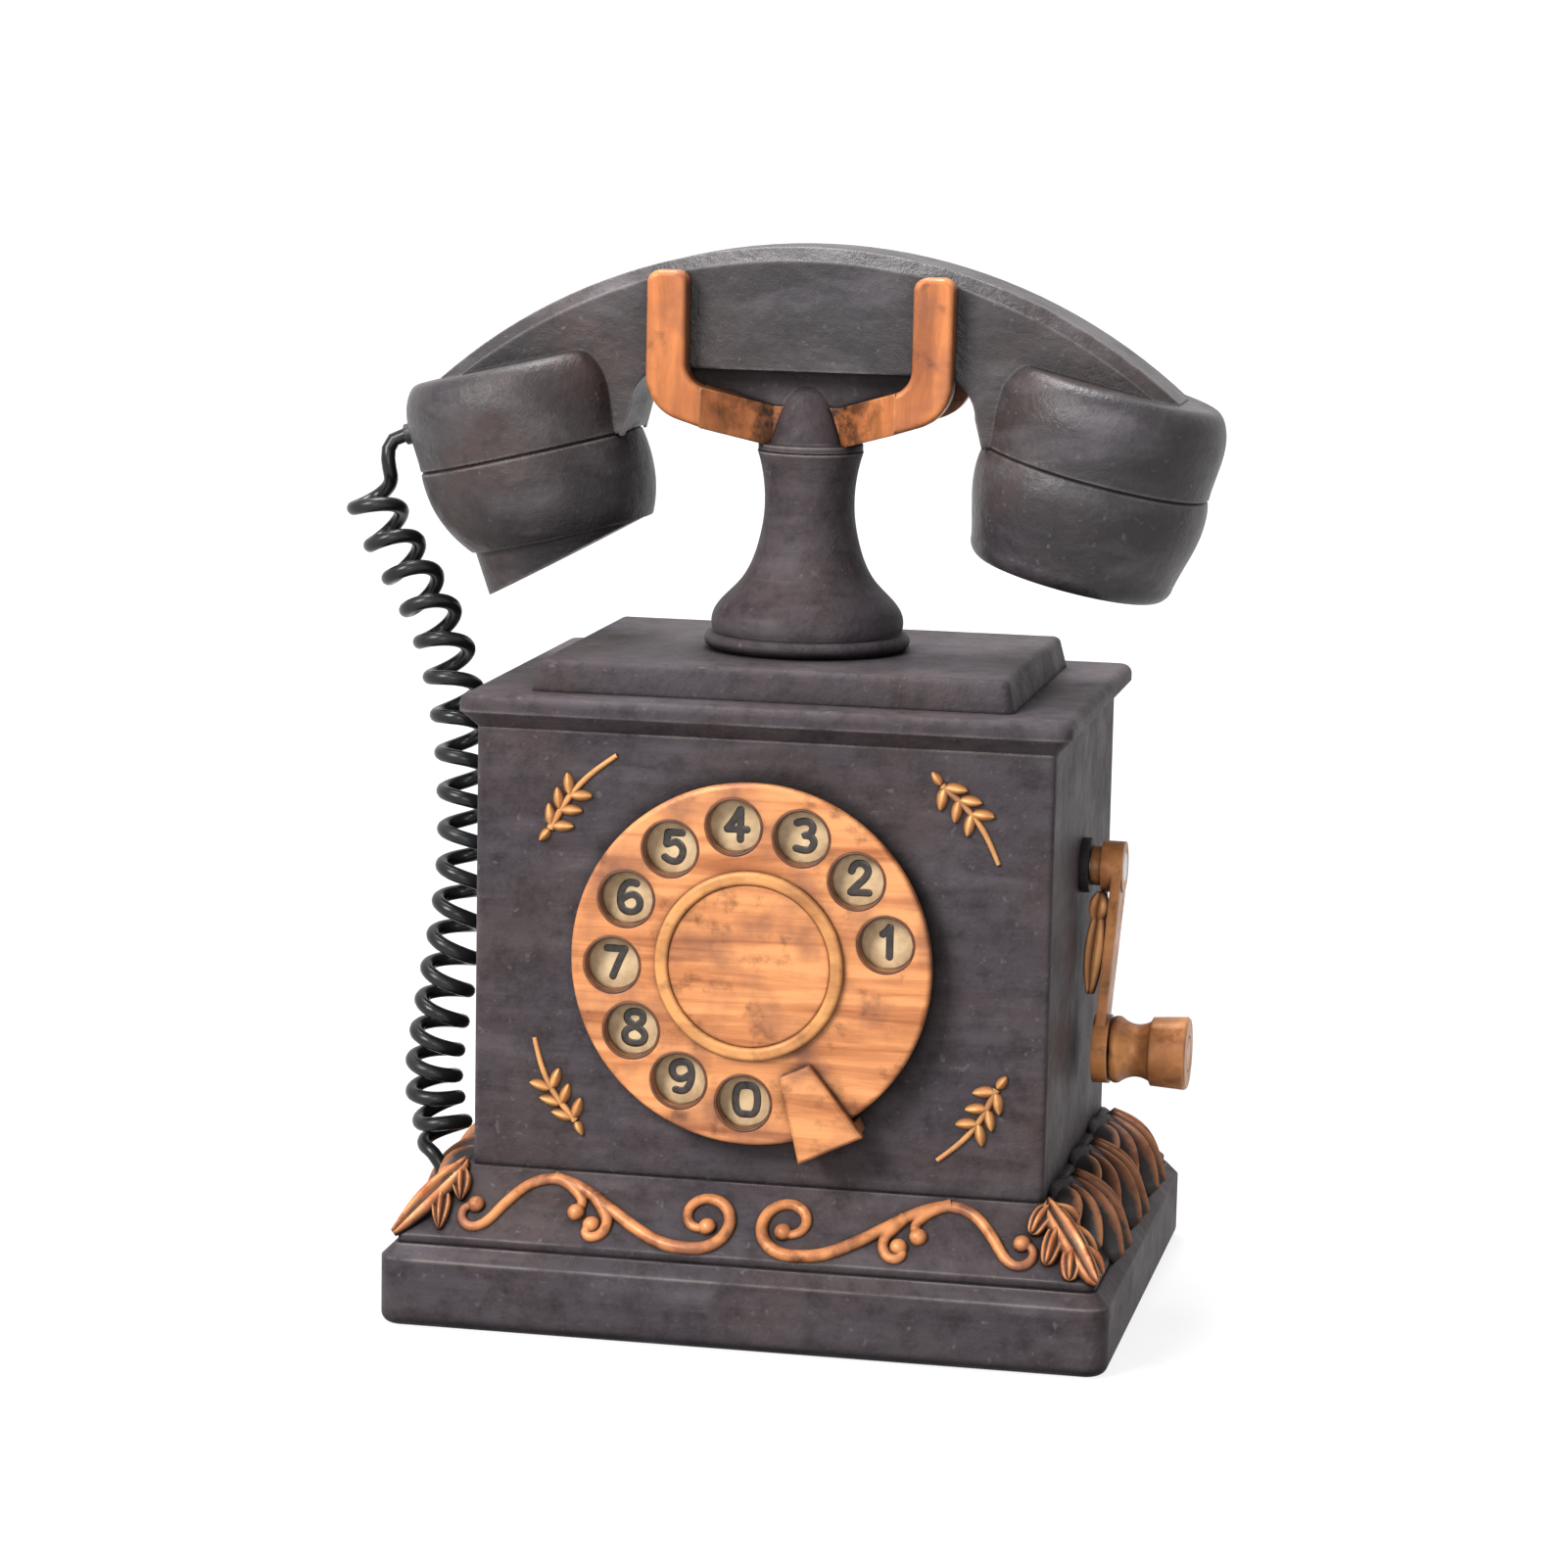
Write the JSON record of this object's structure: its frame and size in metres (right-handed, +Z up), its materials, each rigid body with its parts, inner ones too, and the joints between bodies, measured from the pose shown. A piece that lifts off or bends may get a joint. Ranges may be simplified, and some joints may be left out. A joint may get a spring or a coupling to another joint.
{
  "type": "telephone",
  "caption": "Table telephone with a finger dial, a hand crank and a handset lying across a raised cradle, joined to the base by a curly cord.",
  "frame": {"origin": "middle of the plinth's underside, on the table", "axes": "+Z up, -Y to the front with the dial, +X to the side with the crank"},
  "size_m": [0.2412, 0.156, 0.286],
  "materials": {
    "black_wood": "satin black paint on wood, rubbed at the edges",
    "black_iron": "satin black paint, rubbed at the edges",
    "black_moulding": "dull black, dry-brushed grey",
    "copper": "copper with dark patina in the recesses",
    "number_enamel": "khaki enamel",
    "cord_sheath": "glossy black",
    "steel": "plain steel",
    "brass": "plain brass",
    "magnet": "dark enamel",
    "insulator": "brown insulating board"
  },
  "bodies": {
    "base": {"base_plinth": "black_wood", "base_coving": "black_wood", "bottom_plate": "steel", "bottom_screws": "steel", "line_grommet": "black_moulding", "cord_gland": "black_moulding", "case": "black_wood", "cap_plate": "black_wood", "cap_step": "black_wood", "pillar": "black_iron", "pillar_nut": "steel", "hook_bracket": "steel", "hook_spring": "steel", "hook_contacts": "insulator", "dial_frame": "brass", "number_plate": "number_enamel", "finger_stop": "copper", "spring_barrel": "steel", "dial_back_plate": "steel", "pulse_contacts": "insulator", "crank_bush": "black_iron", "magneto_frame": "steel", "magneto_magnets": "magnet", "ringer_base": "steel", "ringer_coils": "insulator", "gong_left": "brass", "gong_right": "brass", "condenser": "magnet", "terminal_block": "insulator", "scroll_left": "copper", "scroll_right": "copper", "corner_leaf_left": "copper", "corner_leaf_right": "copper", "side_leaves_left": "copper", "side_leaves_right": "copper", "front_sprigs": "copper", "handset_cord": "cord_sheath"},
    "cradle": {"cradle_fork": "copper", "cradle_boss": "black_iron", "hook_rod": "steel"},
    "handset": {"handset_body": "black_moulding", "mouthpiece_cap": "black_moulding", "earpiece_cap": "black_moulding", "transmitter_capsule": "magnet", "receiver_capsule": "magnet", "handset_gland": "black_moulding"},
    "dial": {"finger_wheel": "copper", "card_ring": "copper", "dial_card": "copper", "dial_shaft": "steel", "dial_gear": "brass", "pulse_cam": "brass"},
    "governor": {"governor": "steel"},
    "crank": {"crank_arm": "copper", "crank_shaft": "steel", "crank_pin": "copper", "crank_gear": "brass"},
    "knob": {"crank_knob": "copper"},
    "armature": {"magneto_armature": "brass"},
    "clapper": {"ringer_clapper": "steel"}
  },
  "joints": [
    {"name": "handset_lift", "type": "slide", "parent": "base", "child": "handset", "axis": [0, 0, 1], "range_m": [0, 0.085], "deforming": ["handset_cord"]},
    {"name": "cradle_rise", "type": "slide", "parent": "base", "child": "cradle", "axis": [0, 0, 1], "range_m": [0, 0.005], "deforming": ["hook_spring"]},
    {"name": "dial_turn", "type": "hinge", "parent": "base", "child": "dial", "pos_m": [-0.0008, -0.0605, 0.101], "axis": [0, 1, 0], "range_deg": [0, 310], "stiffness_Nm_per_rad": 0.01, "springref_deg": -34.38},
    {"name": "governor_spin", "type": "hinge", "parent": "base", "child": "governor", "pos_m": [-0.01607, -0.03, 0.08573], "axis": [0, 1, 0], "range_deg": [-1600, 50]},
    {"name": "crank_turn", "type": "hinge", "parent": "base", "child": "crank", "pos_m": [0.08, 0, 0.121], "axis": [1, 0, 0], "continuous": true},
    {"name": "knob_spin", "type": "hinge", "parent": "crank", "child": "knob", "pos_m": [0.095, 0, 0.0705], "axis": [1, 0, 0], "continuous": true},
    {"name": "magneto_spin", "type": "hinge", "parent": "base", "child": "armature", "pos_m": [0.04, 0, 0.0886], "axis": [1, 0, 0], "continuous": true},
    {"name": "clapper_swing", "type": "hinge", "parent": "base", "child": "clapper", "pos_m": [-0.0299, 0.03095, 0.0525], "axis": [0, 1, 0], "range_deg": [-4.5, 4.5], "stiffness_Nm_per_rad": 0.02}
  ],
  "couplings": [
    {"joint": "cradle_rise", "follows": "handset_lift", "ratio": 0.058824},
    {"joint": "governor_spin", "follows": "dial_turn", "ratio": -5},
    {"joint": "magneto_spin", "follows": "crank_turn", "ratio": -5}
  ]
}
